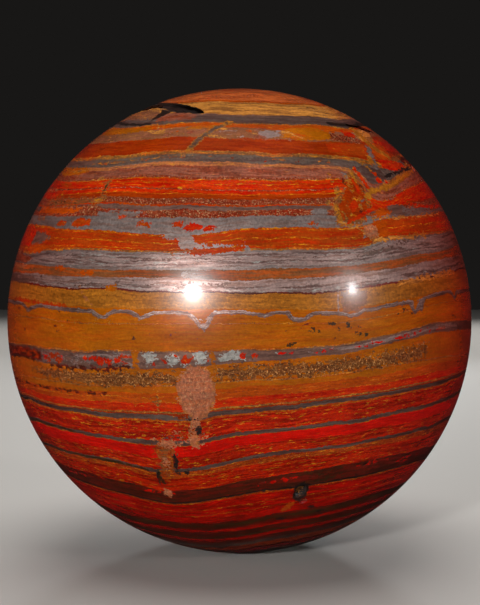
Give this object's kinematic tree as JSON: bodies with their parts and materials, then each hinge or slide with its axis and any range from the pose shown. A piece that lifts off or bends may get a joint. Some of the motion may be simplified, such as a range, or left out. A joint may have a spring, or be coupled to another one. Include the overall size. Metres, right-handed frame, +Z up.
{
  "type": "tiger iron sphere",
  "caption": "Polished ball of banded tiger iron with small chips along its bedding, resting on a small ground flat.",
  "frame": {"origin": "On the surface the stone rests on, in the middle of the ground flat below the ball's centre", "axes": "+Z up and square to the ground flat, the bedding lies nearly level across it; -Y is the front, the side the picture shows; +X is to the right seen from the front"},
  "size_m": [0.1, 0.1, 0.0993],
  "materials": {
    "polished_stone": "polished"
  },
  "bodies": {
    "root": {"sphere": "polished_stone"}
  },
  "joints": []
}
